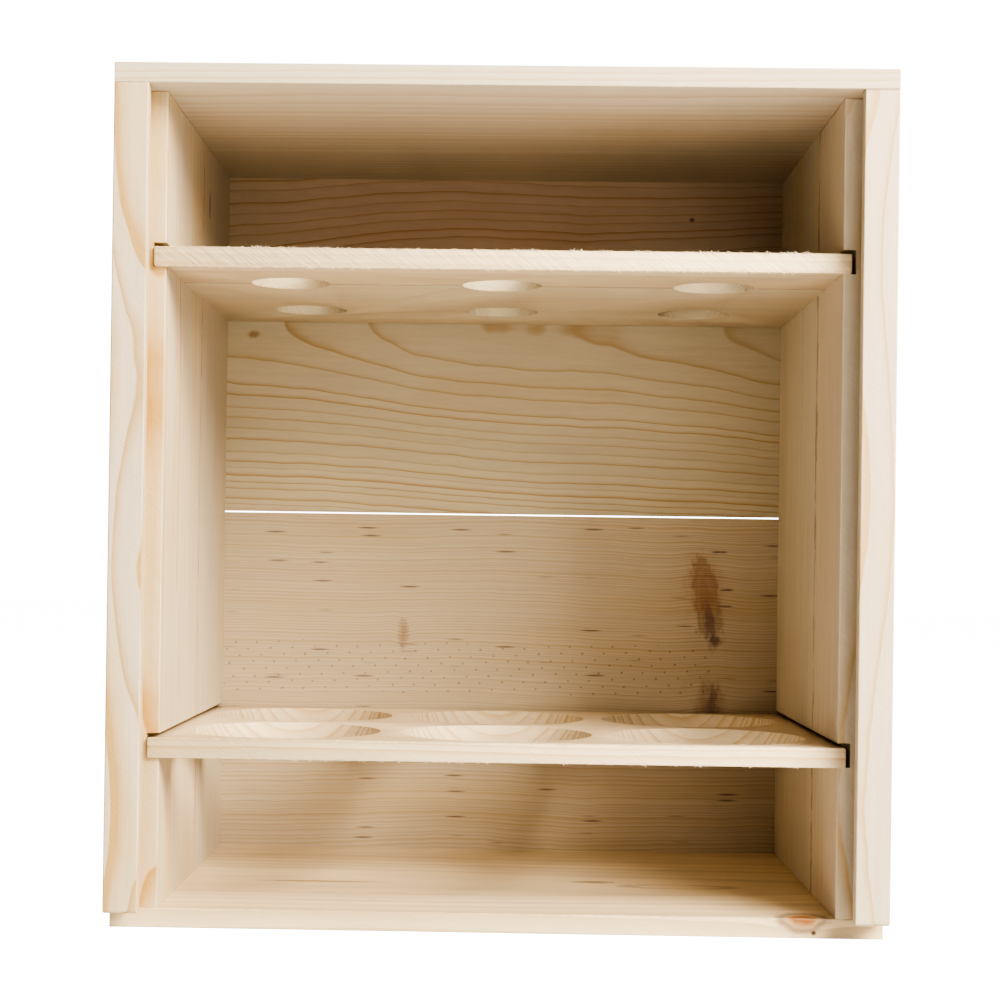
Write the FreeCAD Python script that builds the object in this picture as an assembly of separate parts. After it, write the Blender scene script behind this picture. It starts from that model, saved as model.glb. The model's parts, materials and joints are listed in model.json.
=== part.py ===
import FreeCAD, Part
import os

# Wooden box for six wine bottles, which stand three wide and two deep behind a sliding front.
# Millimetres. +Z is up, the open front faces -Y, and the origin is at the middle of the box on the
# surface that it stands on.

# ---------------------------------------------------------------- driving dimensions
# The bottles that the box is made for
BOTTLE_COLUMNS = 3
BOTTLE_ROWS = 2
BOTTLE_HEIGHT = 300.0
BOTTLE_DIAMETER = 75.5
NECK_DIAMETER = 29.5

# Room around the bottles
BOTTLE_HOLE_CLEARANCE = 1.0     # across the hole
NECK_HOLE_CLEARANCE = 2.0       # across the hole
BOTTLE_HEAD_ROOM = 10.0         # above the standing bottles

# Wood left around the bottle holes of a rack
COLUMN_WEB = 7.9                # between two holes side by side
ROW_WEB = 6.5                   # between the front hole and the one behind it
END_WEB = 9.35                  # from the outer holes to the rack's ends
EDGE_WEB = 6.0                  # from the holes to the rack's front and rear edges

# Boards
WALL_THICKNESS = 18.0
TOP_THICKNESS = 7.5
BOTTOM_THICKNESS = 7.5
BACK_THICKNESS = 7.5
BACK_BOARD_GAP = 0.8            # see-through joint between the two back boards
RACK_THICKNESS = 7.5

# Glue line of each side wall, as the depth of its front stave behind the lid channel
LEFT_GLUE_LINE = 92.0
RIGHT_GLUE_LINE = 61.0

# Channel for a sliding lid, worked in the front edge of the side walls
LIP_WIDTH = 13.0                # across the front
LIP_THICKNESS = 5.5
LID_GROOVE_WIDTH = 8.5          # between the lip and the wall's set-back edge
LID_GROOVE_DEPTH = 5.0          # behind the lip

# Racks and the grooves that carry them
RACK_GROOVE_DEPTH = 4.8
RACK_GROOVE_PLAY = 1.7          # above the rack
RACK_END_PLAY = 2.0             # between both ends and the bottoms of the grooves
RACK_LEFT_GAP = 0.3             # share of the end play that is on the left
RACK_FRONT_REACH = 1.8          # in front of the walls' set-back edge
RACK_BACK_GAP = 0.3
BOTTLE_RACK_HEIGHT = 57.0       # from the floor to the rack's underside
NECK_RACK_DROP = 59.3           # from the ceiling to the rack's upper face
NECK_RACK_JOINT = 0.6           # between the two boards of the neck rack

# Worn and broken edges
BOARD_EDGE_ROUND = 0.4
WALL_EDGE_ROUND = 0.6
LIP_END_ROUND = 1.2
RACK_EDGE_ROUND = 0.5

# Staples, of flattened wire
STAPLE_CROWN = 6.0              # overall, along the crown
STAPLE_LENGTH = 28.0            # from the crown to the points
STAPLE_POINT = 2.0              # length of the chisel ends
STAPLE_WIRE_WIDTH = 1.25
STAPLE_WIRE_THICKNESS = 1.0
STAPLE_CORNER_ROUND = 0.7
STAPLE_SINK = 0.3               # of the crown below the wood's face
STAPLE_FIT = 0.05               # around the staple
STAPLE_END_DISTANCE = 15.0      # from a stave's edges to its staples
STAPLE_CORNER_DISTANCE = 38.0   # from the box's corners to the back's first staple
STAPLE_JOINT_DISTANCE = 14.0    # from the back's middle joint to its staples
BACK_SIDE_STAPLES = 3           # through each back board into each wall
BACK_EDGE_STAPLES = 3           # through the back into the top, and as many into the bottom
BACK_EDGE_STAPLE_SPACING = 72.0

# ---------------------------------------------------------------- sizes that follow
bottle_hole = BOTTLE_DIAMETER + BOTTLE_HOLE_CLEARANCE
neck_hole = NECK_DIAMETER + NECK_HOLE_CLEARANCE
column_pitch = bottle_hole + COLUMN_WEB
row_pitch = bottle_hole + ROW_WEB

rack_length = bottle_hole + (BOTTLE_COLUMNS - 1) * column_pitch + 2 * END_WEB
rack_depth = bottle_hole + (BOTTLE_ROWS - 1) * row_pitch + 2 * EDGE_WEB
rack_groove_height = RACK_THICKNESS + RACK_GROOVE_PLAY

bay_width = rack_length + RACK_END_PLAY - 2 * RACK_GROOVE_DEPTH
bay_depth = rack_depth + RACK_BACK_GAP - RACK_FRONT_REACH
bay_height = BOTTLE_HEIGHT + BOTTLE_HEAD_ROOM

box_width = bay_width + 2 * WALL_THICKNESS
box_depth = LIP_THICKNESS + LID_GROOVE_WIDTH + bay_depth + BACK_THICKNESS
box_height = BOTTOM_THICKNESS + bay_height + TOP_THICKNESS

front_y = -box_depth / 2
lip_back_y = front_y + LIP_THICKNESS
recess_y = lip_back_y + LID_GROOVE_WIDTH
back_y = recess_y + bay_depth
rear_y = box_depth / 2
floor_z = BOTTOM_THICKNESS
ceiling_z = floor_z + bay_height
inner_x = bay_width / 2
outer_x = box_width / 2

bottle_rack_z = floor_z + BOTTLE_RACK_HEIGHT
neck_rack_z = ceiling_z - NECK_RACK_DROP - RACK_THICKNESS
rack_left_x = -inner_x - RACK_GROOVE_DEPTH + RACK_LEFT_GAP
rack_front_y = recess_y - RACK_FRONT_REACH
first_hole_x = rack_left_x + END_WEB + bottle_hole / 2
first_hole_y = rack_front_y + EDGE_WEB + bottle_hole / 2
hole_columns = [first_hole_x + i * column_pitch for i in range(BOTTLE_COLUMNS)]
hole_rows = [first_hole_y + i * row_pitch for i in range(BOTTLE_ROWS)]

left_glue_y = recess_y + LEFT_GLUE_LINE
right_glue_y = recess_y + RIGHT_GLUE_LINE
staple_x = inner_x + WALL_THICKNESS / 2
back_joint_z = box_height / 2

UP = FreeCAD.Vector(0, 0, 1)
DOWN = FreeCAD.Vector(0, 0, -1)
ACROSS = FreeCAD.Vector(1, 0, 0)
FORWARD = FreeCAD.Vector(0, -1, 0)
OVERCUT = 1.0                   # that a cutting tool passes beyond the face it enters


# ---------------------------------------------------------------- building blocks
def block(low, high):
    """A board from its lowest corner to its highest corner."""
    size = [b - a for a, b in zip(low, high)]
    return Part.makeBox(size[0], size[1], size[2], FreeCAD.Vector(*low))


def rounded(shape, radius, wanted):
    """The shape with a small round along each straight edge that wanted(start, end) accepts."""
    edges = []
    for edge in shape.Edges:
        if len(edge.Vertexes) == 2 and wanted(edge.Vertexes[0].Point, edge.Vertexes[1].Point):
            edges.append(edge)
    return shape.makeFillet(radius, edges)


def on_plane(axis, value):
    """A test for edges that lie in the plane where one coordinate has the given value."""
    def lies(start, end):
        return abs(start[axis] - value) < 1e-6 and abs(end[axis] - value) < 1e-6
    return lies


def along(axis):
    """A test for edges that run along one axis."""
    def runs(start, end):
        return all(abs(start[i] - end[i]) < 1e-6 for i in range(3) if i != axis)
    return runs


def both(first, second):
    """A test for edges that pass two tests."""
    return lambda start, end: first(start, end) and second(start, end)


def prism(corners, thickness):
    """A plate outlined by (x, z) corners, centred on y = 0."""
    points = [FreeCAD.Vector(x, -thickness / 2, z) for x, z in corners]
    face = Part.Face(Part.makePolygon(points + points[:1]))
    return face.extrude(FreeCAD.Vector(0, thickness, 0))


def driven(solid, place):
    """A solid made along +Z from the origin, moved to a place: (point, direction, crown's run)."""
    point, direction, run = place
    turn = FreeCAD.Rotation(run, direction.cross(run), direction, "ZXY")
    solid.Placement = FreeCAD.Placement(point, turn)
    return solid


# ---------------------------------------------------------------- staples
def staple(place):
    """A staple, its crown let into the wood's face and its legs ending in chisel points."""
    side = STAPLE_CROWN / 2
    inside = side - STAPLE_WIRE_WIDTH
    under_crown = STAPLE_SINK + STAPLE_WIRE_WIDTH
    leg_end = STAPLE_LENGTH - STAPLE_POINT
    tip = side - STAPLE_WIRE_WIDTH / 2
    half = [
        (side, STAPLE_SINK),
        (side, leg_end),
        (tip, STAPLE_LENGTH),
        (inside, leg_end),
        (inside, under_crown),
    ]
    mirrored = [(-x, z) for x, z in reversed(half)]
    wire = prism(half + mirrored, STAPLE_WIRE_THICKNESS)
    wire = rounded(wire, STAPLE_CORNER_ROUND, both(along(1), on_plane(2, STAPLE_SINK)))
    return driven(wire, place)


def staple_room(place):
    """The room that a staple takes up in the wood, from the open air above its crown."""
    side = STAPLE_CROWN / 2 + STAPLE_FIT
    inside = STAPLE_CROWN / 2 - STAPLE_WIRE_WIDTH - STAPLE_FIT
    under_crown = STAPLE_SINK + STAPLE_WIRE_WIDTH + STAPLE_FIT
    leg_end = STAPLE_LENGTH + STAPLE_FIT
    half = [(side, -OVERCUT), (side, leg_end), (inside, leg_end), (inside, under_crown)]
    mirrored = [(-x, z) for x, z in reversed(half)]
    return driven(prism(half + mirrored, STAPLE_WIRE_THICKNESS + 2 * STAPLE_FIT), place)


def stave_staple_rows():
    """(side, depth) of each staple in the walls' end grain: two to a stave, clear of its edges."""
    rows = []
    for side, glue_y in ((-1, left_glue_y), (1, right_glue_y)):
        for low, high in ((recess_y, glue_y), (glue_y, back_y)):
            rows.append((side, low + STAPLE_END_DISTANCE))
            rows.append((side, high - STAPLE_END_DISTANCE))
    return rows


def top_staples():
    """The places of the staples through the top board, their crowns along the walls."""
    rows = stave_staple_rows()
    return [(FreeCAD.Vector(side * staple_x, y, box_height), DOWN, FORWARD) for side, y in rows]


def bottom_staples():
    """The places of the staples through the bottom board, their crowns along the walls."""
    rows = stave_staple_rows()
    return [(FreeCAD.Vector(side * staple_x, y, 0), UP, FORWARD) for side, y in rows]


def back_staples():
    """The places of the staples through the back, into the walls, the top and the bottom."""
    places = []
    for low, high in (
        (STAPLE_CORNER_DISTANCE, back_joint_z - STAPLE_JOINT_DISTANCE),
        (back_joint_z + STAPLE_JOINT_DISTANCE, box_height - STAPLE_CORNER_DISTANCE),
    ):
        step = (high - low) / (BACK_SIDE_STAPLES - 1)
        for i in range(BACK_SIDE_STAPLES):
            for side in (-1, 1):
                point = FreeCAD.Vector(side * staple_x, rear_y, low + i * step)
                places.append((point, FORWARD, UP))
    first_x = -(BACK_EDGE_STAPLES - 1) * BACK_EDGE_STAPLE_SPACING / 2
    for i in range(BACK_EDGE_STAPLES):
        x = first_x + i * BACK_EDGE_STAPLE_SPACING
        for z in (BOTTOM_THICKNESS / 2, box_height - TOP_THICKNESS / 2):
            places.append((FreeCAD.Vector(x, rear_y, z), FORWARD, ACROSS))
    return places


def stapled(shape, places):
    """The shape with the room of each staple that reaches it taken out."""
    rooms = [staple_room(place) for place in places]
    reached = [room for room in rooms if shape.BoundBox.intersect(room.BoundBox)]
    return shape.cut(Part.makeCompound(reached)) if reached else shape


# ---------------------------------------------------------------- casing
def wall_staves(side, glue_y):
    """The front and rear staves of one side wall, glued edge to edge. side is -1 left, 1 right."""
    lip_x = outer_x - LIP_WIDTH
    groove_x = lip_x + LID_GROOVE_DEPTH
    outline = [
        (outer_x, front_y),
        (lip_x, front_y),
        (lip_x, lip_back_y),
        (groove_x, lip_back_y),
        (groove_x, recess_y),
        (inner_x, recess_y),
        (inner_x, glue_y),
        (outer_x, glue_y),
    ]
    corners = [FreeCAD.Vector(side * x, y, floor_z) for x, y in outline]
    face = Part.Face(Part.makePolygon(corners + corners[:1]))
    front = face.extrude(UP * bay_height)
    exposed = [(outer_x, front_y), (lip_x, front_y), (lip_x, lip_back_y), (inner_x, recess_y)]

    def exposed_corner(start, end):
        here = any(abs(abs(start.x) - x) < 1e-6 and abs(start.y - y) < 1e-6 for x, y in exposed)
        return here and along(2)(start, end)

    front = rounded(front, LIP_END_ROUND, both(on_plane(1, front_y), on_plane(2, floor_z)))
    front = rounded(front, WALL_EDGE_ROUND, exposed_corner)
    rear = block(
        (min(side * inner_x, side * outer_x), glue_y, floor_z),
        (max(side * inner_x, side * outer_x), back_y, ceiling_z),
    )
    places = top_staples() + bottom_staples() + back_staples()
    staves = []
    for stave in (front, rear):
        for rack_z in (bottle_rack_z, neck_rack_z):
            stave = stave.cut(rack_groove(side, rack_z))
        staves.append(stapled(stave, places))
    return staves


def rack_groove(side, rack_z):
    """The cut in one wall for the end of the rack whose underside is at rack_z."""
    near_x = side * (inner_x - OVERCUT)
    far_x = side * (inner_x + RACK_GROOVE_DEPTH)
    return block(
        (min(near_x, far_x), recess_y - OVERCUT, rack_z),
        (max(near_x, far_x), back_y + OVERCUT, rack_z + rack_groove_height),
    )


def top_board():
    """The top, which covers the walls out to the front of their lips."""
    board = block((-outer_x, front_y, ceiling_z), (outer_x, back_y, box_height))
    board = rounded(board, BOARD_EDGE_ROUND, on_plane(1, front_y))
    return stapled(board, top_staples() + back_staples())


def bottom_board():
    """The bottom, whose front edge is set back so that the lid can slide past it."""
    board = block((-outer_x, recess_y, 0), (outer_x, back_y, floor_z))
    board = rounded(board, BOARD_EDGE_ROUND, on_plane(1, recess_y))
    return stapled(board, bottom_staples() + back_staples())


def back_board(low_z, high_z):
    """One of the two boards that close the back."""
    board = block((-outer_x, back_y, low_z), (outer_x, rear_y, high_z))
    board = rounded(board, BOARD_EDGE_ROUND, on_plane(1, rear_y))
    return stapled(board, back_staples())


# ---------------------------------------------------------------- racks
def rack_blank(z):
    """A rack board with no holes, its underside at z and its ends eased."""
    right_x = rack_left_x + rack_length
    low = (rack_left_x, rack_front_y, z)
    high = (right_x, rack_front_y + rack_depth, z + RACK_THICKNESS)

    def end_edge(start, end):
        at_end = on_plane(0, rack_left_x)(start, end) or on_plane(0, right_x)(start, end)
        return at_end and along(1)(start, end)

    return rounded(block(low, high), RACK_EDGE_ROUND, end_edge)


def bored(board, diameter, z, rows):
    """The board with a row of round holes at each depth in rows."""
    length = RACK_THICKNESS + 2 * OVERCUT
    for y in rows:
        for x in hole_columns:
            start = FreeCAD.Vector(x, y, z - OVERCUT)
            board = board.cut(Part.makeCylinder(diameter / 2, length, start, UP))
    return board


def bottle_rack():
    """The lower rack: one board with a hole for each bottle's body."""
    return bored(rack_blank(bottle_rack_z), bottle_hole, bottle_rack_z, hole_rows)


def neck_rack():
    """The upper rack's rear board and front strip, parted along the front row of neck holes."""
    board = bored(rack_blank(neck_rack_z), neck_hole, neck_rack_z, hole_rows)
    room = board.BoundBox
    joint_front_y = hole_rows[0] - NECK_RACK_JOINT / 2
    joint_rear_y = hole_rows[0] + NECK_RACK_JOINT / 2
    front_room = block(
        (room.XMin - OVERCUT, room.YMin - OVERCUT, room.ZMin - OVERCUT),
        (room.XMax + OVERCUT, joint_front_y, room.ZMax + OVERCUT),
    )
    rear_room = block(
        (room.XMin - OVERCUT, joint_rear_y, room.ZMin - OVERCUT),
        (room.XMax + OVERCUT, room.YMax + OVERCUT, room.ZMax + OVERCUT),
    )
    return board.common(rear_room), board.common(front_room)


# ---------------------------------------------------------------- the whole box
def all_parts():
    """Every piece of the box, by name."""
    parts = {}
    parts["top_board"] = top_board()
    parts["bottom_board"] = bottom_board()
    for name, side, glue_y in (("left", -1, left_glue_y), ("right", 1, right_glue_y)):
        front, rear = wall_staves(side, glue_y)
        parts[name + "_wall_front_stave"] = front
        parts[name + "_wall_rear_stave"] = rear
    parts["back_board_lower"] = back_board(0, back_joint_z - BACK_BOARD_GAP / 2)
    parts["back_board_upper"] = back_board(back_joint_z + BACK_BOARD_GAP / 2, box_height)
    parts["bottle_rack"] = bottle_rack()
    parts["neck_rack_rear_board"], parts["neck_rack_front_strip"] = neck_rack()
    parts["top_staples"] = Part.makeCompound([staple(place) for place in top_staples()])
    parts["bottom_staples"] = Part.makeCompound([staple(place) for place in bottom_staples()])
    parts["back_staples"] = Part.makeCompound([staple(place) for place in back_staples()])
    return parts


def main():
    """Write each piece to a STEP file of its own."""
    os.makedirs("parts", exist_ok=True)
    for name, shape in all_parts().items():
        shape.exportStep(os.path.join("parts", name + ".step"))
        print(name, len(shape.Solids), "solid(s)", round(shape.Volume / 1000, 2), "cm3")


main()
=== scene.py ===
import json
import logging
import math
import random
from contextlib import contextmanager
from dataclasses import dataclass, field, replace
from enum import Enum
from functools import partial, reduce
from typing import Any, Iterator

import bpy
from mathutils import Euler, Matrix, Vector


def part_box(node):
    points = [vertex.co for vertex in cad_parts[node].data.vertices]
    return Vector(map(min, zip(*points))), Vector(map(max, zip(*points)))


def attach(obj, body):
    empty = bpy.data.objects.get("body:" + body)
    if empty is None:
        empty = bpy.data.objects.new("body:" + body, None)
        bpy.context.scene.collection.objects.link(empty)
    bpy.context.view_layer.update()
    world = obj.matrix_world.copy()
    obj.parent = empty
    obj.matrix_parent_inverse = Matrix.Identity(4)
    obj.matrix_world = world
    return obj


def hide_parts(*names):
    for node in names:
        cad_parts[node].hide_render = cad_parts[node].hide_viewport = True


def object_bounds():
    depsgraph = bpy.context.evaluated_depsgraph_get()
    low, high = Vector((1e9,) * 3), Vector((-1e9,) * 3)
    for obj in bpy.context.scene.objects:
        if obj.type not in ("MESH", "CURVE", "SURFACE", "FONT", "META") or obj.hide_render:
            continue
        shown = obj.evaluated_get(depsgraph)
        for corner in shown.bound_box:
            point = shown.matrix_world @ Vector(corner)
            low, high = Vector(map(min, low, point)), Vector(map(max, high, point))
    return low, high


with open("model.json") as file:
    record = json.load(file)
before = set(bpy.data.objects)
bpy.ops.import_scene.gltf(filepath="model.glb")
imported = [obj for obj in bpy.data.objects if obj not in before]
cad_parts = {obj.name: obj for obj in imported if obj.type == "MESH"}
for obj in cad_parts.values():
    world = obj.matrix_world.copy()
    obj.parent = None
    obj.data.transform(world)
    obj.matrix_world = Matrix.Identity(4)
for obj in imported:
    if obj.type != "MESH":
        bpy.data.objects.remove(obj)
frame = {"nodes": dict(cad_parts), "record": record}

# A softwood box for six wine bottles. Metres, +Z up, open front towards -Y. The boards of the casing
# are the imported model's own and are dressed here; the loose racks, with their sawn and torn edges,
# are modelled here over the plain ones.

LOG = logging.getLogger("bottle_box")
CAD_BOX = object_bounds()
MM = 0.001
Point = tuple[float, float, float]
Colour = tuple[float, float, float]
Values = tuple[Any, ...]
Paint = tuple[Any, Colour, str]
Places = list[tuple[Vector, Vector]]
Piece = bpy.types.Object
Socket = bpy.types.NodeSocket
ORIGIN: Point = (0.0, 0.0, 0.0)
WHITE: Colour = (1.0, 1.0, 1.0)


class Grain(Enum):
    """The way that the fibres of a board run."""

    ACROSS = (0.0, 0.0, 0.0)
    UPRIGHT = (0.0, 90.0, 0.0)

    @property
    def direction(self) -> Point:
        """The fibres' direction, as a unit vector."""
        return (1.0, 0.0, 0.0) if self is Grain.ACROSS else (0.0, 0.0, 1.0)


# --- Shader trees ---
class Tree:
    """A shader tree, with short calls that add a node, set it and join its sockets."""

    def __init__(self, tree: bpy.types.NodeTree) -> None:
        """Start on an empty tree, of a material, a world or a node group."""
        self.tree = tree
        self.tree.nodes.clear()

    def feed(self, socket: Socket, value: Any) -> None:
        """Join a socket to another one, or set it to a value.

        Args:
            socket: The input.
            value: What it takes. A colour is given without its alpha.
        """
        if isinstance(value, Socket):
            self.tree.links.new(value, socket)
        elif socket.type == "RGBA":
            socket.default_value = (*value, 1.0)
        else:
            socket.default_value = value

    def add(self, kind: str, inputs: dict[Any, Any] | None = None, **settings: Any) -> bpy.types.Node:
        """Add one node.

        Args:
            kind: The node's type, without the word ShaderNode.
            inputs: A value or a socket for each input, by name or number.
            **settings: The node's own settings.

        Returns:
            The new node.
        """
        node = self.tree.nodes.new("ShaderNode" + kind)
        for name, value in settings.items():
            setattr(node, name, value)
        for name, value in (inputs or {}).items():
            self.feed(node.inputs[name], value)
        return node

    def calc(self, operation: str, *values: Any) -> Socket:
        """Work out one number from up to three others."""
        return self.add("Math", dict(enumerate(values)), operation=operation).outputs[0]

    def times(self, *factors: Any) -> Socket:
        """Multiply numbers."""
        return reduce(partial(self.calc, "MULTIPLY"), factors)

    def plus(self, *terms: Any) -> Socket:
        """Add numbers up."""
        return reduce(partial(self.calc, "ADD"), terms)

    def minus(self, first: Any, second: Any) -> Socket:
        """Take one number from another."""
        return self.calc("SUBTRACT", first, second)

    def weigh(self, value: Any, weight: Any, base: Any) -> Socket:
        """Add a value, times its weight, to a base."""
        return self.calc("MULTIPLY_ADD", value, weight, base)

    def total(self, base: Any, *weighted: tuple[Any, float]) -> Socket:
        """Add values, each times its weight, to a base."""
        return reduce(lambda whole, pair: self.weigh(*pair, whole), weighted, base)

    def vector(self, operation: str, *vectors: Any) -> Socket:
        """Work out a vector from others, or their LENGTH or DOT_PRODUCT."""
        node = self.add("VectorMath", dict(enumerate(vectors)), operation=operation)
        return node.outputs[1 if operation in ("LENGTH", "DOT_PRODUCT") else 0]

    def split(self, vector: Any) -> Any:
        """Take a vector apart into its three numbers."""
        return self.add("SeparateXYZ", {0: vector}).outputs

    def merged(self, x: Any, y: Any, z: Any) -> Socket:
        """Make a vector of three numbers."""
        return self.add("CombineXYZ", {0: x, 1: y, 2: z}).outputs[0]

    def step(self, value: Any, low: Any, high: Any, bottom: Any = 0.0, top: Any = 1.0) -> Socket:
        """Ease a value from bottom to top as it goes from low to high."""
        given = {0: value, 1: low, 2: high, 3: bottom, 4: top}
        return self.add("MapRange", given, interpolation_type="SMOOTHSTEP").outputs[0]

    def mix(self, share: Any, first: Any, second: Any, mode: str = "MIX") -> Socket:
        """Blend two colours."""
        given = {0: share, 6: first, 7: second}
        return self.add("Mix", given, data_type="RGBA", blend_type=mode).outputs[2]

    def noise(self, vector: Any, sizes: Point, detail: float = 1.0, rough: float = 0.5) -> Any:
        """Smooth noise.

        Args:
            vector: The place.
            sizes: The length of a lump along each axis.
            detail: How many finer layers it has.
            rough: The strength of each finer layer.

        Returns:
            Its value and its colour.
        """
        place = self.vector("MULTIPLY", vector, tuple(1.0 / size for size in sizes))
        noise = self.add("TexNoise", {"Vector": place, "Scale": 1.0, "Detail": detail, "Roughness": rough})
        return noise.outputs

    def shade(self, colour: Any, amount: Any) -> Socket:
        """Multiply a colour by one number."""
        grey = self.add("CombineColor", {0: amount, 1: amount, 2: amount}).outputs[0]
        return self.mix(1.0, colour, grey, "MULTIPLY")

    def bump(self, strength: float, distance: float, height: Any) -> Socket:
        """Tilt the surface's normal by a height."""
        return self.add("Bump", {"Strength": strength, "Distance": distance, "Height": height}).outputs[0]

    def gloss(self, specular: float, colour: Any, roughness: Any, **inputs: Any) -> Socket:
        """Shade a surface.

        Args:
            specular: The strength of its shine.
            colour: Its colour.
            roughness: How dull it is.
            **inputs: The shader's other inputs, by their names with underlines.

        Returns:
            The shader.
        """
        given = {"Base Color": colour, "Roughness": roughness, "Specular IOR Level": specular}
        given.update((name.replace("_", " "), value) for name, value in inputs.items())
        return self.add("BsdfPrincipled", given).outputs[0]

    def use(self, effect: type["Effect"], **inputs: Any) -> Any:
        """Place a shared effect with its own values.

        Args:
            effect: The effect.
            **inputs: A value or a socket for each of its inputs.

        Returns:
            Its outputs.
        """
        node = self.tree.nodes.new("ShaderNodeGroup")
        node.node_tree = effect.group()
        for name, value in inputs.items():
            self.feed(node.inputs[name.replace("_", " ").title()], value)
        return node.outputs


# --- Shared effects ---
class Effect:
    """A node group of masks and values, built once and placed in every material that wants it.

    Attributes:
        title: The group's name.
        takes: Its inputs, with their usual values.
        gives: The names of its outputs.
    """

    title = ""
    takes: dict[str, Any] = {}
    gives: tuple[str, ...] = ()

    @classmethod
    def group(cls) -> bpy.types.NodeTree:
        """Find the effect's node group, or build it.

        Returns:
            The node group.
        """
        found = bpy.data.node_groups.get(cls.title)
        if found:
            return found
        made = bpy.data.node_groups.new(cls.title, "ShaderNodeTree")
        for name, value in cls.takes.items():
            kind = "NodeSocketVector" if isinstance(value, tuple) else "NodeSocketFloat"
            made.interface.new_socket(name, in_out="INPUT", socket_type=kind).default_value = value
        for name in cls.gives:
            made.interface.new_socket(name, in_out="OUTPUT", socket_type="NodeSocketFloat")
        tree = Tree(made)
        given = made.nodes.new("NodeGroupInput").outputs
        results = cls.build(tree, given)
        out = made.nodes.new("NodeGroupOutput")
        for name, value in zip(cls.gives, results):
            tree.feed(out.inputs[name], value)
        return made

    @classmethod
    def build(cls, tree: Tree, given: Any) -> Values:
        """Fill the group, in each effect's own way.

        Args:
            tree: The group's tree.
            given: The sockets of the group's inputs, by name.

        Returns:
            What the group gives.
        """
        raise NotImplementedError


class GrowthRings(Effect):
    """Yearly rings around a tree's heart, which runs along the X axis of the given vector."""

    title = "growth rings"
    takes = {
        "Vector": ORIGIN, "Width": 0.003, "Crowding": 0.0, "Bow": 0.002,
        "Bow Length": 0.2, "Ripple": 0.0004, "Pull": 0.0, "Sharpness": 6.0,
    }
    gives = ("Late", "Ring")

    @classmethod
    def build(cls, tree: Tree, given: Any) -> Values:
        """Bend the tree, count its rings outwards, and darken the end of each year's growth."""
        place = tree.split(given["Vector"])
        slow = tree.calc("DIVIDE", place[0], given["Bow Length"])
        sway = tree.merged(slow, place[1], place[2])
        bend = tree.split(tree.noise(sway, (1.0, 0.2, 0.2), 0.0)[1])
        reach = tree.times(given["Bow"], 4.0)
        squares = []
        for axis in (1, 2):
            moved = tree.weigh(tree.minus(bend[axis], 0.5), reach, place[axis])
            squares.append(tree.times(moved, moved))
        radius = tree.calc("SQRT", tree.plus(*squares))
        tremble = tree.noise(given["Vector"], (0.022, 0.03, 0.03), 1.5)[0]
        ripple = tree.times(given["Ripple"], 4.0)
        radius = tree.plus(radius, tree.weigh(tree.minus(tremble, 0.5), ripple, given["Pull"]))
        crowded = tree.weigh(tree.times(radius, radius), given["Crowding"], radius)
        years = tree.calc("DIVIDE", crowded, given["Width"])
        uneven = tree.add("TexNoise", {"W": years, "Scale": 0.31, "Detail": 1.0}, noise_dimensions="1D")
        years = tree.weigh(uneven.outputs[0], 2.0, years)
        year = tree.calc("FLOOR", years)
        season = tree.minus(years, year)
        chance = tree.add("TexWhiteNoise", {"W": year}, noise_dimensions="1D").outputs[0]
        sharpness = tree.times(given["Sharpness"], tree.weigh(chance, 0.9, 0.6))
        growth = tree.calc("POWER", season, sharpness)
        halt = tree.step(season, 0.94, 1.0, 1.0, 0.0)
        late = tree.times(growth, halt, tree.weigh(chance, -0.8, 1.9))
        return tree.calc("MINIMUM", late, 1.0), chance


class KnotShape(Effect):
    """The cut through a branch, or a patch of painted light or shade laid on the same way: how near it is,
    its body and its dark rim.
    """

    title = "knot shape"
    takes = {
        "Vector": ORIGIN, "Centre": ORIGIN, "Inverse Size": (1.0, 1.0, 1.0),
        "Tilt": 0.0, "Rough": 0.0, "Ragged": 0.3,
    }
    gives = ("Near", "Body", "Rim")

    @classmethod
    def build(cls, tree: Tree, given: Any) -> Values:
        """Measure the distance from the branch in its own sizes, roughened by noise."""
        apart = tree.vector("SUBTRACT", given["Vector"], given["Centre"])
        part = tree.split(apart)
        upright = tree.minus(part[0], tree.times(part[2], given["Tilt"]))
        leaned = tree.merged(upright, part[1], part[2])
        clean = tree.vector("LENGTH", tree.vector("MULTIPLY", leaned, given["Inverse Size"]))
        away = tree.weigh(given["Rough"], given["Ragged"], clean)
        near = tree.calc("EXPONENT", tree.times(clean, clean, -0.55))
        body = tree.step(away, 0.35, 1.1, 1.0, 0.0)
        rim = tree.times(tree.step(away, 0.65, 0.95), tree.step(away, 0.95, 1.35, 1.0, 0.0))
        return near, body, rim


class Fibre(Effect):
    """The fine streaks of the fibres along the X axis of the given vector."""

    title = "fibre streaks"
    takes = {"Vector": ORIGIN}
    gives = ("Streak", "Fine")

    @classmethod
    def build(cls, tree: Tree, given: Any) -> Values:
        """Two sizes of noise, drawn out along the fibres."""
        streak = tree.noise(given["Vector"], (0.11, 0.0022, 0.0022), 1.5, 0.55)[0]
        return streak, tree.noise(given["Vector"], (0.012, 0.00045, 0.00045), 0.5)[0]


class Blotches(Effect):
    """Slow changes of colour through the wood, longer along the X axis of the given vector."""

    title = "blotches"
    takes = {"Vector": ORIGIN}
    gives = ("Warm", "Dull")

    @classmethod
    def build(cls, tree: Tree, given: Any) -> Values:
        """Ease the high and the low parts of one slow noise, with plain wood between them."""
        slow = tree.noise(given["Vector"], (0.12, 0.026, 0.026), 1.5)[0]
        return tree.step(slow, 0.48, 0.7), tree.step(slow, 0.3, 0.48, 1.0, 0.0)


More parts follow.
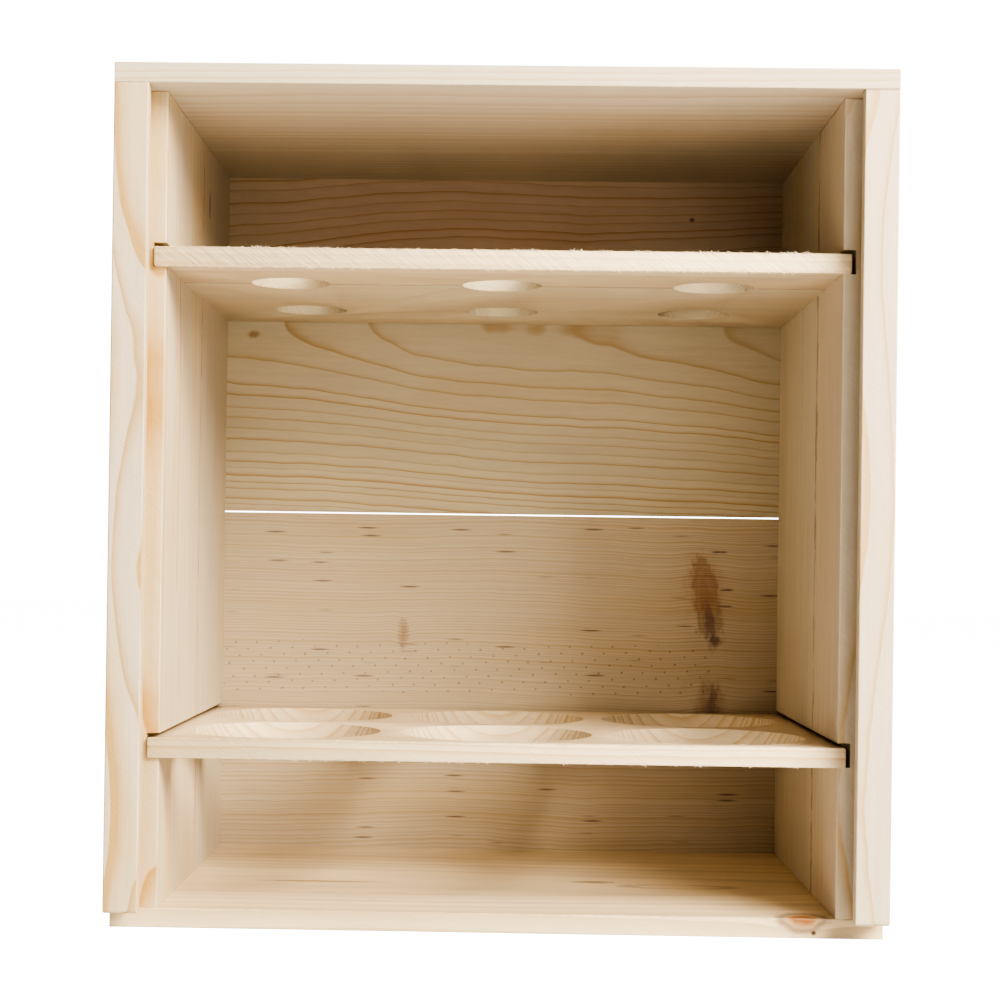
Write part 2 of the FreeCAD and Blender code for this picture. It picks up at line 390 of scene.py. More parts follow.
class EndGrain(Effect):
    """Where the fibres are cut across, and the fine pits of their cut ends."""

    title = "end grain"
    takes = {"Vector": ORIGIN, "Normal": (0.0, 0.0, 1.0), "Fibres": (1.0, 0.0, 0.0)}
    gives = ("Mask", "Pits")

    @classmethod
    def build(cls, tree: Tree, given: Any) -> Values:
        """Compare the surface's normal with the fibres' direction."""
        facing = tree.vector("DOT_PRODUCT", given["Normal"], given["Fibres"])
        mask = tree.step(tree.calc("ABSOLUTE", facing), 0.3, 0.98)
        pits = tree.noise(given["Vector"], (0.0007, 0.0007, 0.0007), 0.0)[0]
        return mask, tree.times(tree.step(pits, 0.5, 0.7), mask)


class EdgeWear(Effect):
    """A broken-up line along the edges of a board, by its lowest and highest corners."""

    title = "edge wear"
    takes = {"Vector": ORIGIN, "Lowest": (-1.0, -1.0, -1.0), "Highest": (1.0, 1.0, 1.0), "Reach": 0.0008}
    gives = ("Mask",)

    @classmethod
    def build(cls, tree: Tree, given: Any) -> Values:
        """Take the second nearest of the board's faces, and break the line up with noise."""
        gaps = []
        for corner in ("Lowest", "Highest"):
            apart = tree.vector("SUBTRACT", given["Vector"], given[corner])
            gaps.append(tree.vector("ABSOLUTE", apart))
        nearest = tree.vector("MINIMUM", gaps[0], gaps[1])
        part = tree.split(nearest)
        least = tree.calc("MINIMUM", tree.calc("MINIMUM", part[0], part[1]), part[2])
        most = tree.calc("MAXIMUM", tree.calc("MAXIMUM", part[0], part[1]), part[2])
        total = tree.plus(part[0], part[1], part[2])
        second = tree.minus(tree.minus(total, least), most)
        patchy = tree.noise(given["Vector"], (0.003, 0.003, 0.003), 0.5)[0]
        reach = tree.times(given["Reach"], tree.step(patchy, 0.4, 0.7))
        return (tree.step(second, tree.times(reach, 0.4), tree.plus(reach, 0.00002), 1.0, 0.0),)


class SawMarks(Effect):
    """The slanting scratches that a saw leaves, on faces that look along Y."""

    title = "saw marks"
    takes = {"Vector": ORIGIN, "Normal": (0.0, 0.0, 1.0), "Slant": 0.95, "Spacing": 0.00085}
    gives = ("Mark",)

    @classmethod
    def build(cls, tree: Tree, given: Any) -> Values:
        """Draw noise out across the slant, strongest in patches."""
        slant = {"Vector": given["Vector"], "Angle": given["Slant"]}
        part = tree.split(tree.add("VectorRotate", slant, rotation_type="Y_AXIS").outputs[0])
        drawn = tree.merged(tree.calc("DIVIDE", part[0], given["Spacing"]), part[1], part[2])
        mark = tree.noise(drawn, (1.0, 0.05, 0.009), 1.0)[0]
        patch = tree.noise(given["Vector"], (0.035, 0.035, 0.035), 0.0)[0]
        facing = tree.split(given["Normal"])[1]
        there = tree.step(tree.calc("ABSOLUTE", facing), 0.7, 0.95)
        return (tree.times(tree.minus(mark, 0.5), tree.times(there, tree.step(patch, 0.1, 0.55))),)


class ResinDashes(Effect):
    """Short dark dashes of resin that lie along the fibres."""

    title = "resin dashes"
    takes = {"Vector": ORIGIN, "Share": 0.1}
    gives = ("Mask",)

    @classmethod
    def build(cls, tree: Tree, given: Any) -> Values:
        """Fill a share of the cells of a drawn-out lattice."""
        cells = tree.vector("MULTIPLY", given["Vector"], (48.0, 4.0, 520.0))
        spots = tree.add("TexVoronoi", {"Vector": cells, "Scale": 1.0}).outputs
        chosen = tree.split(spots["Color"])
        dark = tree.step(spots["Distance"], 0.08, 0.32, 1.0, 0.0)
        few = tree.calc("LESS_THAN", chosen[0], given["Share"])
        return (tree.times(dark, few, tree.weigh(chosen[1], 0.5, 0.5)),)


class RollerPricks(Effect):
    """Rows of small pricks that the spiked roller of a planing machine presses into a board."""

    title = "roller pricks"
    takes = {"Vector": ORIGIN, "Low": 0.0, "High": 0.1, "End": 0.1}
    gives = ("Mask",)

    @classmethod
    def build(cls, tree: Tree, given: Any) -> Values:
        """Lay round dots on a slanting lattice, in a band between two heights."""
        shaken = tree.minus(tree.noise(given["Vector"], (0.008, 0.008, 0.008), 0.5)[0], 0.5)
        part = tree.split(tree.vector("MULTIPLY_ADD", shaken, (0.003, 0.0, 0.002), given["Vector"]))
        row = tree.weigh(part[0], 12.5, tree.times(part[2], -319.0))
        column = tree.weigh(part[0], 90.7, tree.times(part[2], 187.6))
        row_off = tree.minus(row, tree.calc("ROUND", row))
        column_off = tree.minus(column, tree.calc("ROUND", column))
        across = tree.weigh(row_off, 0.006, tree.times(column_off, 0.0102))
        up = tree.weigh(row_off, -0.0029, tree.times(column_off, 0.0004))
        offset = tree.merged(across, 0.0, up)
        away = tree.vector("LENGTH", offset)
        above = tree.calc("GREATER_THAN", part[2], given["Low"])
        below = tree.calc("LESS_THAN", part[2], given["High"])
        inside = tree.times(above, below, tree.calc("LESS_THAN", part[0], given["End"]))
        return (tree.times(tree.step(away, 0.0003, 0.00065, 1.0, 0.0), inside),)


# --- Finishes ---
RIM_BROWN = (0.2, 0.1, 0.05)
TIP_BROWN = (0.22, 0.11, 0.055)
# The brown of glue in the seams, and of painted shadow in the gap under the top board.
GLUE_AND_GAP_SHADE_BROWN = (0.34, 0.17, 0.085)
PRICK_BROWN = (0.26, 0.14, 0.07)
RESIN_BROWN = (0.17, 0.09, 0.07)
DULL_WOOD = (0.55, 0.41, 0.27)
WORN_WOOD = (0.62, 0.45, 0.29)


class Finish:
    """A material made of nodes alone.

    Attributes:
        name: The material's name.
    """

    name: str

    def material(self) -> bpy.types.Material:
        """Build the material.

        Returns:
            The finished material.
        """
        made = bpy.data.materials.new(self.name)
        made.use_nodes = True
        tree = Tree(made.node_tree)
        tree.add("OutputMaterial", {"Surface": self.surface(tree)})
        return made

    def surface(self, tree: Tree) -> Socket:
        """Build the shader, in each finish's own way.

        Args:
            tree: The material's tree.

        Returns:
            The shader.
        """
        raise NotImplementedError


@dataclass(frozen=True)
class Knot:
    """The cut through one branch, or a patch of painted light or shade laid on in the same way.

    Attributes:
        place: Its middle, in the box's frame.
        size: Half its length along X, Y and Z.
        pull: How far it pushes the rings aside.
        darkness: How dark its body is, from 0 to 1.
        rim: How dark its rim is, from 0 to 1.
        ragged: How rough its outline is.
        tilt: How far it leans along X, for each metre upwards.
        feather: How much it darkens the rings that end at it.
        colour: Its body's colour.
        blend: How its body's colour is laid on: MIX covers the grain, and MULTIPLY stains it.
    """

    place: Point
    size: Point
    pull: float = 0.0
    darkness: float = 0.5
    rim: float = 0.0
    ragged: float = 0.5
    tilt: float = 0.0
    feather: float = 0.0
    colour: Colour = (0.4, 0.22, 0.105)
    blend: str = "MIX"


@dataclass(frozen=True)
class Softwood(Finish):
    """Raw planed or sawn softwood, cut from a tree of its own.

    Attributes:
        name: The material's name.
        grain: The way that the fibres run.
        heart: A point on the tree's middle line, in the box's frame.
        lean: The turns of the fibres off their axis, in degrees.
        width: The width of a year's growth.
        crowding: How much closer the rings come, for each metre outwards.
        bow: The sway of the tree's middle line.
        bow_length: The length of one sway.
        ripple: The fine waviness of the rings.
        late: The strength of the dark end of each year's growth.
        sharpness: How narrow that dark end is.
        pale: The colour of the early wood.
        warm: The colour of its warmer patches.
        dark: The colour of the late wood.
        saw: The strength of the saw marks.
        dashes: The share of resin dashes.
        pricks: The roller pricks' lowest and highest height, and their end along X, or None.
        seam: The depth of a glued or butted seam, or None.
        seam_width: The greatest reach of the seam's stain.
        top_stain_and_shade: The height of an upper end that is browned by stain and by painted shadow of
            the gap under the top board, or None.
        top_width: The greatest reach of that end's stain and painted shadow.
        stained: The strength of the seam's stain and of the upper end's stain and painted shadow, from 0 to
            1.
        corners: The lowest and highest corner of the board.
        knots: The branches that the board is cut through, and patches of painted light or shade laid on as
            knots.
    """

    name: str
    grain: Grain
    heart: Point
    lean: tuple[float, float] = (0.0, 0.0)
    width: float = 0.003
    crowding: float = 0.0
    bow: float = 0.0015
    bow_length: float = 0.2
    ripple: float = 0.0002
    late: float = 0.8
    sharpness: float = 6.0
    pale: Colour = (0.79, 0.63, 0.425)
    warm: Colour = (0.77, 0.575, 0.34)
    dark: Colour = (0.63, 0.4, 0.17)
    saw: float = 0.0
    dashes: float = 0.0
    pricks: Point | None = None
    seam: float | None = None
    seam_width: float = 0.0012
    top_stain_and_shade: float | None = None
    top_width: float = 0.0009
    stained: float = 0.55
    corners: tuple[Point, Point] = ((-1.0, -1.0, -1.0), (1.0, 1.0, 1.0))
    knots: tuple[Knot, ...] = ()

    def surface(self, tree: Tree) -> Socket:
        """Grow the wood's grain, mark it, and keep its colour plain in light that other surfaces throw."""
        spot = tree.add("TexCoord").outputs
        place, normal = spot["Object"], spot["Normal"]
        board = self.board_space(tree, place)
        pull, near, paints = self.knot_masks(tree, place)
        rings = tree.use(
            GrowthRings, vector=board, width=self.width, crowding=self.crowding, bow=self.bow,
            bow_length=self.bow_length, ripple=self.ripple, pull=pull, sharpness=self.sharpness,
        )
        fibre = tree.use(Fibre, vector=board)
        blotch = tree.use(Blotches, vector=board)
        end = tree.use(EndGrain, vector=place, normal=normal, fibres=self.grain.direction)
        wear = tree.use(EdgeWear, vector=place, lowest=self.corners[0], highest=self.corners[1])[0]

        colour = tree.mix(tree.times(blotch["Warm"], 0.5), self.pale, self.warm)
        late = tree.times(rings["Late"], tree.weigh(end["Mask"], 0.2, self.late))
        colour = tree.mix(late, colour, self.dark)
        colour = tree.mix(tree.times(blotch["Dull"], 0.12), colour, DULL_WOOD)
        streak, fine = tree.minus(fibre["Streak"], 0.5), tree.minus(fibre["Fine"], 0.5)
        of_end = ((end["Mask"], -0.08), (end["Pits"], -0.14))
        light = tree.total(1.0, (streak, 0.13), (fine, 0.09), (rings["Ring"], -0.04), *of_end)
        height = tree.times(fibre["Fine"], 0.6)
        if self.saw:
            mark = tree.use(SawMarks, vector=place, normal=normal)[0]
            height = tree.weigh(mark, 3.0 * self.saw, height)
            light = tree.weigh(mark, 0.3 * self.saw, light)
        colour = tree.shade(colour, light)
        if self.knots:
            tips = tree.times(near, rings["Late"])
            colour = tree.mix(tips, colour, TIP_BROWN)
        for share, paint, blend in paints:
            colour = tree.mix(share, colour, paint, blend)
        if self.dashes:
            dash = tree.use(ResinDashes, vector=board, share=self.dashes)[0]
            colour = tree.mix(tree.times(dash, 0.75), colour, RESIN_BROWN)
        if self.pricks:
            low, high, last = self.pricks
            prick = tree.use(RollerPricks, vector=place, low=low, high=high, end=last)[0]
            colour = tree.mix(tree.times(prick, 0.5), colour, PRICK_BROWN)
        colour = self.stains(tree, place, colour)
        colour = tree.mix(tree.times(wear, 0.35), colour, WORN_WOOD)
        dull = tree.total(0.6, (fibre["Fine"], 0.2), (late, -0.12), (end["Mask"], 0.12))
        bump = tree.bump(0.5, 0.14 * MM, height)
        detailed = tree.gloss(0.2, colour, dull, Normal=bump)
        plain = tree.gloss(0.3, self.mean_colour(), 0.6)
        bounced = tree.add("LightPath").outputs["Is Diffuse Ray"]
        return tree.add("MixShader", {0: bounced, 1: detailed, 2: plain}).outputs[0]

    def mean_colour(self) -> Colour:
        """The wood's colour without its grain, a little greyed, for light on its way to other wood."""
        grey = sum(share * part for share, part in zip((0.3, 0.6, 0.1), self.pale))
        return tuple(0.41 * grey + 0.45 * part for part in self.pale)

    def board_space(self, tree: Tree, place: Socket) -> Socket:
        """Turn the box's frame so that X runs along the fibres, with the tree's heart at the origin.

        Args:
            tree: The material's tree.
            place: The place on the object.

        Returns:
            The place on the board.
        """
        lean = Euler((0.0, math.radians(self.lean[0]), math.radians(self.lean[1])))
        turn = Euler([math.radians(angle) for angle in self.grain.value])
        both = lean.to_matrix() @ turn.to_matrix()
        given = {"Vector": place, "Location": -(both @ Vector(self.heart)), "Rotation": both.to_euler()}
        return tree.add("Mapping", given).outputs[0]

    def knot_masks(self, tree: Tree, place: Socket) -> tuple[Any, Any, list[Paint]]:
        """Gather the board's knots, and the patches of painted light or shade laid on as knots.

        Args:
            tree: The material's tree.
            place: The place on the object.

        Returns:
            How far the rings are pushed, how near a feathered knot is, and each mask with its colour and
            blend.
        """
        pull, near, paints = 0.0, 0.0, []
        if self.knots:
            rough = tree.noise(place, (0.0028, 0.0028, 0.006), 2.5, 0.65)[0]
            rough = tree.times(tree.minus(rough, 0.5), 2.0)
        for knot in self.knots:
            inverse = tuple(1.0 / half for half in knot.size)
            given = {"vector": place, "centre": knot.place, "inverse_size": inverse, "rough": rough}
            shape = tree.use(KnotShape, **given, ragged=knot.ragged, tilt=knot.tilt)
            pull = tree.weigh(shape["Near"], knot.pull, pull)
            near = tree.calc("MAXIMUM", tree.times(shape["Near"], knot.feather), near)
            paints.append((tree.times(shape["Body"], knot.darkness), knot.colour, knot.blend))
            paints.append((tree.times(shape["Rim"], knot.rim), RIM_BROWN, "MIX"))
        return pull, near, paints

    def stains(self, tree: Tree, place: Socket, colour: Any) -> Any:
        """Stain the wood along a seam, and brown a stave's upper end with stain and painted shadow of the
        thin gap under the top board.

        Args:
            tree: The material's tree.
            place: The place on the object.
            colour: The wood's colour.

        Returns:
            The colour with the stains.
        """
        part = tree.split(place)
        uneven = tree.noise(place, (0.02, 0.02, 0.014), 4.0, 0.62)
        drift = tree.minus(tree.add("SeparateColor", {0: uneven[1]}).outputs[2], 0.5)
        for axis, level, width in ((1, self.seam, self.seam_width), (2, self.top_stain_and_shade, self.top_width)):
            if level is not None:
                middle = tree.weigh(drift, 2.5 * width, level)
                apart = tree.calc("ABSOLUTE", tree.minus(part[axis], middle))
                reach = tree.times(tree.step(uneven[0], 0.3, 0.7), width)
                stain = tree.step(apart, tree.times(reach, 0.4), tree.plus(reach, 0.0001), 1.0, 0.0)
                # Along the upper end this brown is painted shadow of the thin gap under the top board, as
                # well as stain.
                colour = tree.mix(tree.times(stain, self.stained), colour, GLUE_AND_GAP_SHADE_BROWN)
        return colour


@dataclass(frozen=True)
class TornFibre(Finish):
    """Pale loose fibres on a sawn edge."""

    name: str = "torn_fibre"
    pale: Colour = (0.86, 0.74, 0.58)
    warm: Colour = (0.78, 0.58, 0.36)

    def surface(self, tree: Tree) -> Socket:
        """Streak the fibres, and tint them here and there."""
        place = tree.add("TexCoord").outputs["Object"]
        fibre = tree.use(Fibre, vector=place)
        tint = tree.noise(place, (0.0025, 0.0025, 0.0025), 2.0)[0]
        colour = tree.mix(tree.step(tint, 0.4, 0.7), self.pale, self.warm)
        dull = tree.weigh(fibre["Fine"], 0.25, 0.6)
        bump = tree.bump(0.4, 0.08 * MM, fibre["Fine"])
        return tree.gloss(0.2, colour, dull, Normal=bump)


@dataclass(frozen=True)
class StapleWire(Finish):
    """Bright flattened wire with a thin zinc coat."""

    name: str = "staple_wire"
    bright: Colour = (0.62, 0.61, 0.59)
    dull: Colour = (0.4, 0.39, 0.37)

    def surface(self, tree: Tree) -> Socket:
        """Draw the wire, and spot it with dull zinc."""
        place = tree.add("TexCoord").outputs["Object"]
        drawn = tree.noise(place, (0.0011, 0.0011, 0.0002), 2.0)[0]
        spots = tree.noise(place, (0.0014, 0.0014, 0.0014), 3.0, 0.6)[0]
        colour = tree.mix(tree.step(spots, 0.45, 0.7), self.bright, self.dull)
        rough = tree.weigh(spots, 0.35, 0.2)
        bump = tree.bump(0.3, 0.03 * MM, drawn)
        return tree.gloss(0.5, colour, rough, Metallic=1.0, Normal=bump)


@dataclass(frozen=True)
class PaleFloor(Finish):
    """A matt floor, which the camera sees as bright as the backdrop."""

    name: str = "pale_floor"
    pale: Colour = (0.86, 0.86, 0.86)
    glow: float = 3.0

    def surface(self, tree: Tree) -> Socket:
        """Add a glow that only the camera sees."""
        lit = tree.gloss(0.2, self.pale, 0.6)
        seen = tree.gloss(0.2, self.pale, 0.6, Emission_Color=WHITE, Emission_Strength=self.glow)
        direct = tree.add("LightPath").outputs["Is Camera Ray"]
        return tree.add("MixShader", {0: direct, 1: lit, 2: seen}).outputs[0]


# --- Modelling ---
class Bench:
    """The modelling calls that the sub-assemblies share."""

    @staticmethod
    def clear() -> None:
        """Leave edit mode and select nothing."""
        if bpy.context.object and bpy.context.object.mode != "OBJECT":
            bpy.ops.object.mode_set(mode="OBJECT")
        bpy.ops.object.select_all(action="DESELECT")

    @staticmethod
    @contextmanager
    def editing() -> Iterator[None]:
        """Go into edit mode, and out of it again."""
        bpy.ops.object.mode_set(mode="EDIT")
        yield
        bpy.ops.object.mode_set(mode="OBJECT")

    @staticmethod
    def only(piece: Piece) -> None:
        """Select one object and make it active.

        Args:
            piece: The object.
        """
        Bench.clear()
        piece.select_set(True)
        bpy.context.view_layer.objects.active = piece

    @staticmethod
    def copy(piece: Piece) -> Piece:
        """Copy an object, with a mesh of its own.

        Args:
            piece: The object.

        Returns:
            The copy.
        """
        Bench.only(piece)
        bpy.ops.object.duplicate()
        return bpy.context.object

    @staticmethod
    def board(name: str, low: Vector, high: Vector) -> Piece:
        """Saw a plain board between two corners, its object left at the origin.

        Args:
            name: The piece's name.
            low: Its lowest corner.
            high: Its highest corner.

        Returns:
            The new board.
        """
        Bench.clear()
        bpy.ops.mesh.primitive_cube_add(size=1.0, location=ORIGIN)
        piece = bpy.context.object
        piece.name = name
        with Bench.editing():
            bpy.ops.mesh.select_all(action="SELECT")
            bpy.ops.transform.resize(value=high - low)
            bpy.ops.transform.translate(value=(low + high) / 2)
        return piece

    @staticmethod
    def modify(piece: Piece, kind: str, **settings: Any) -> None:
        """Add a modifier, set it and apply it.

        Args:
            piece: The object.
            kind: The modifier's type.
            **settings: The modifier's settings.
        """
        Bench.only(piece)
        modifier = piece.modifiers.new(kind.lower(), kind)
        for name, value in settings.items():
            setattr(modifier, name, value)
        bpy.ops.object.modifier_apply(modifier=modifier.name)

    @staticmethod
    def smooth(piece: Piece, degrees: float = 25.0) -> None:
        """Shade a piece smooth, apart from its corners."""
        Bench.only(piece)
        bpy.ops.object.shade_smooth_by_angle(angle=math.radians(degrees))

    @staticmethod
    def dress(piece: Piece, material: bpy.types.Material) -> None:
        """Give a piece one material."""
        piece.data.materials.clear()
        piece.data.materials.append(material)


# --- Sub-assemblies ---
class Casing:
    """The boards and staves of the box, and the staples that hold them."""

    def flat_boards(self) -> dict[str, Softwood]:
        """Choose the wood of the top and the bottom board.

        Returns:
            The wood of each node.
        """
        orange, black = (0.43, 0.165, 0.045), (0.1, 0.05, 0.03)
        top = Softwood(
            "top_wood", Grain.ACROSS, (0.0, -0.095, CAD_BOX[1][2] + 0.09), (0.3, 0.3),
            width=0.0034, bow=0.001, late=0.42, saw=0.3, sharpness=4.0,
        )
        # Place, half size, pull, darkness, rim, ragged.
        knots = (
            Knot((0.116, -0.0818, 0.0084), (0.0088, 0.01, 0.0056), 0.003, 0.95, 0.6, 0.2, colour=orange),
            Knot((0.1201, -0.0818, 0.0021), (0.0009, 0.01, 0.0008), 0.0, 1.0, 0.8, 0.1, colour=black),
            Knot((0.0405, -0.003, 0.0075), (0.008, 0.0028, 0.006), 0.001, 0.7, 0.3, 0.5),
            Knot((0.075, -0.012, 0.0075), (0.022, 0.005, 0.02), 0.002, 0.0, 0.3, 0.25),
            Knot((-0.0725, -0.012, 0.0075), (0.032, 0.0028, 0.008), 0.001, 0.55, 0.0, 0.4, colour=orange),
        )
        bottom = Softwood(
            "bottom_wood", Grain.ACROSS, (0.0, -0.01, CAD_BOX[0][2] - 0.12), (-0.4, 0.5), width=0.0036,
            bow=0.0014, late=0.36, saw=0.3, sharpness=4.0, pale=(0.94, 0.71, 0.42), knots=knots,
        )
        return {"top_board": top, "bottom_board": bottom}

    def back_boards(self) -> dict[str, Softwood]:
        """Choose the wood of the two back boards, browner than the rest, with painted shade over the upper
        board's top bay.

        Returns:
            The wood of each node.
        """
        back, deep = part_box("back_board_lower")[0].y, 0.02
        body, core = (0.4, 0.23, 0.12), (0.21, 0.12, 0.1)
        amber, haze, painted_top_bay_shade = (0.93, 0.81, 0.74), (0.78, 0.67, 0.66), (0.99, 0.86, 0.88)

        def through(*marks: tuple[Any, ...]) -> tuple[Knot, ...]:
            """Run a table of branches, and a patch of painted shade, straight through the back."""
            return tuple(Knot((x, back, z), (wide, deep, high), *look) for x, z, wide, high, *look in marks)

        # X, Z, half width, half height, pull, darkness, rim, ragged, tilt, feather, colour, blend.
        lower = Softwood(
            "back_wood_lower", Grain.ACROSS, (0.0, back + 0.03, -0.02), (0.2, 0.4),
            width=0.0013, bow=0.002, bow_length=0.11, ripple=0.0004, late=0.36, sharpness=2.6,
            pale=(0.68, 0.525, 0.33), warm=(0.64, 0.47, 0.255), dark=(0.46, 0.255, 0.1),
            dashes=0.16, pricks=(0.0795, 0.103, 0.098),
            knots=through(
                (0.0945, 0.129, 0.01, 0.022, -0.0022, 0.9, 0.0, 0.5, -0.12, 0.25, amber, "MULTIPLY"),
                (0.0957, 0.1235, 0.0052, 0.019, 0.0, 0.8, 0.3, 0.7, -0.14, 0.25, haze, "MULTIPLY"),
                (0.0972, 0.1135, 0.0032, 0.011, 0.0, 0.55, 0.0, 0.9, -0.12, 0.25, core),
                (0.0998, 0.106, 0.0042, 0.0028, 0.0, 0.7, 0.0, 0.9, 0.0, 0.0, core),
                (0.0978, 0.074, 0.0085, 0.015, -0.0018, 0.9, 0.0, 0.6, 0.0, 0.25, haze, "MULTIPLY"),
                (0.0985, 0.076, 0.0034, 0.01, 0.0, 0.5, 0.0, 0.9, 0.0, 0.25, core),
                (0.1045, 0.129, 0.0042, 0.0007, 0.0, 0.8, 0.0, 0.5, 0.0, 0.0, core),
                (0.104, 0.1215, 0.004, 0.0006, 0.0, 0.7, 0.0, 0.5, 0.0, 0.0, core),
                (0.101, 0.1465, 0.005, 0.0006, 0.0, 0.8, 0.0, 0.5, 0.0, 0.0, core),
                (-0.0445, 0.107, 0.0024, 0.007, 0.0012, 0.6, 0.2, 0.9, 0.0, 0.2, body),
            ),
        )
        upper = Softwood(
            "back_wood_upper", Grain.ACROSS, (0.0, back + 0.04, 0.25), (-1.0, 4.0),
            width=0.0075, crowding=9.0, bow=0.0034, bow_length=0.14, ripple=0.0004, late=0.75,
            sharpness=8.0, pale=(0.665, 0.53, 0.325), warm=(0.64, 0.47, 0.255), dark=(0.46, 0.255, 0.1),
            knots=through(
                (-0.1163, 0.2448, 0.004, 0.0024, 0.001, 0.8, 0.0, 0.7, 0.0, 0.0, body),
                # Not a branch: a broad warm tint over the top bay above the neck rack, painted shade.
                (0.0, 0.3, 0.2, 0.042, 0.0, 1.0, 0.0, 0.2, 0.0, 0.0, painted_top_bay_shade, "MULTIPLY"),
                (0.0865, 0.3001, 0.0012, 0.001, 0.001, 0.9, 0.5, 0.2, 0.0, 0.0, core),
            ),
        )
        return {"back_board_lower": lower, "back_board_upper": upper}

    def staves(self) -> dict[str, Softwood]:
        """Choose the wood of the four upright staves, stained where they are glued.

        Returns:
            The wood of each node.
        """
        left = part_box("left_wall_front_stave")[1]
        right_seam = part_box("right_wall_front_stave")[1].y
        wall = Softwood("wall_wood", Grain.UPRIGHT, ORIGIN, late=0.6, dark=(0.66, 0.38, 0.12))
        # Not a branch: painted bounce light, a warm tint down the lid groove and recess of the left front
        # stave, laid on as a knot.
        glow = Knot(
            (-0.1332, -0.08, 0.16), (0.0066, 0.006, 0.35), darkness=1.0, ragged=0.3,
            colour=(1.0, 0.88, 0.68), blend="MULTIPLY",
        )
        pip = Knot(
            (-0.1282, 0.0275, 0.2938), (0.006, 0.0018, 0.006), pull=0.001, darkness=0.8, rim=0.3,
            ragged=0.8, colour=(0.26, 0.14, 0.08),
        )
        return {
            "left_wall_front_stave": replace(
                wall, name="left_front_stave_wood", heart=(-0.1285, -0.045, 0.0), lean=(0.3, 0.5),
                width=0.0027, bow=0.0024, bow_length=0.12, late=0.85, sharpness=4.0, saw=0.35,
                warm=(0.8, 0.57, 0.27), seam=left.y, seam_width=0.002, top_stain_and_shade=left.z, knots=(glow,),
            ),
            # The left rear stave's early wood is set darker than the other staves': painted shade that dims
            # the left wall's inner face.
            "left_wall_rear_stave": replace(
                wall, name="left_rear_stave_wood", heart=(-0.16, 0.24, 0.0), lean=(0.0, -0.6),
                width=0.0026, pale=(0.74, 0.595, 0.4), seam=left.y, seam_width=0.0016, knots=(pip,),
            ),
            "right_wall_front_stave": replace(
                wall, name="right_front_stave_wood", heart=(0.124, -0.035, 0.0), lean=(0.0, 0.6),
                width=0.003, bow=0.0022, bow_length=0.15, sharpness=8.0, saw=0.35,
                seam=right_seam, seam_width=0.004, top_stain_and_shade=left.z,
            ),
            "right_wall_rear_stave": replace(
                wall, name="right_rear_stave_wood", heart=(0.16, 0.22, 0.0), lean=(0.3, 0.5),
                width=0.0028, pale=(0.775, 0.65, 0.44), seam=right_seam, seam_width=0.003,
            ),
        }

    def dress(self) -> None:
        """Give each node of the casing its finish."""
        finishes: dict[str, Any] = {**self.flat_boards(), **self.back_boards(), **self.staves()}
        for node, wood in finishes.items():
            finishes[node] = replace(wood, corners=tuple(tuple(corner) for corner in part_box(node)))
        for node in ("top_staples", "bottom_staples", "back_staples"):
            finishes[node] = StapleWire(node.replace("staples", "staple_wire"))
        for node, finish in finishes.items():
            frame["nodes"][node].material_slots[0].material = finish.material()
            LOG.info("dressed %s as %s", node, finish.name)


@dataclass(frozen=True)
class Hole:
    """A round hole: the place of its middle and its radius."""

    x: float
    y: float
    radius: float


@dataclass
class RackBoard:
    """A loose board of a rack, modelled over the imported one.

    Attributes:
        node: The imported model's node that it replaces.
        body: The body that it rides on.
        finish: The wood that it is cut from.
        hole_prefix: The start of the names of the mounts that are its holes.
        facets: The number of sides of a hole.
        edge: The width of its broken edges.
        corner: The radius of its worn ends.
        piece: The modelled board, once it is built.
    """

    node: str
    body: str
    finish: Softwood
    hole_prefix: str
    facets: int = 96
    edge: float = 0.25 * MM
    corner: float = 0.7 * MM
    piece: Piece | None = field(default=None, init=False)

    def holes(self) -> list[Hole]:
        """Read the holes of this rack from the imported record.

        Returns:
            The holes whose wall reaches this board.
        """
        low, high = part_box(self.node)
        found = []
        for mount in frame["record"]["mounts"]:
            if mount["name"].startswith(self.hole_prefix):
                x, y, _ = mount["pos_m"]
                radius = mount["dims"]["r_mm"] * MM
                if low.y < y + radius and y - radius < high.y:
                    found.append(Hole(x, y, radius))
        return found

    def build(self) -> None:
        """Saw the board, bore its holes, break its edges and dress it."""
        low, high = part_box(self.node)
        self.piece = Bench.board(self.node + "_wood", low, high)
        self.round_ends()
        for hole in self.holes():
            self.bore(hole, low.z, high.z)
        Bench.modify(
            self.piece, "BEVEL", width=self.edge, segments=2, limit_method="ANGLE",
            angle_limit=math.radians(40.0), use_clamp_overlap=True,
        )
        Bench.smooth(self.piece)
        corners = (tuple(low), tuple(high))
        Bench.dress(self.piece, replace(self.finish, corners=corners).material())
        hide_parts(self.node)
        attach(self.piece, self.body)
        LOG.info("%s: %d faces", self.piece.name, len(self.piece.data.polygons))

    def round_ends(self) -> None:
        """Round the edges around the board's two end faces, where handling has worn them."""
        Bench.only(self.piece)
        with Bench.editing():
            bpy.ops.mesh.select_mode(type="EDGE")
            bpy.ops.mesh.select_all(action="DESELECT")
        for edge in self.piece.data.edges:
            start, end = (self.piece.data.vertices[i].co for i in edge.vertices)
            edge.select = abs(start.x - end.x) < MM
        with Bench.editing():
            bpy.ops.mesh.bevel(offset=self.corner, segments=3, profile=0.5, affect="EDGES")

    def bore(self, hole: Hole, low_z: float, high_z: float) -> None:
        """Cut one round hole through the board.

        Args:
            hole: The hole.
            low_z: The height of the board's underside.
            high_z: The height of its upper face.
        """
        Bench.clear()
        middle = (hole.x, hole.y, (low_z + high_z) / 2)
        bpy.ops.mesh.primitive_cylinder_add(
            vertices=self.facets, radius=hole.radius, depth=3 * (high_z - low_z), location=middle,
        )
        cutter = bpy.context.object
        Bench.modify(self.piece, "BOOLEAN", operation="DIFFERENCE", solver="EXACT", object=cutter)
        bpy.data.objects.remove(cutter)


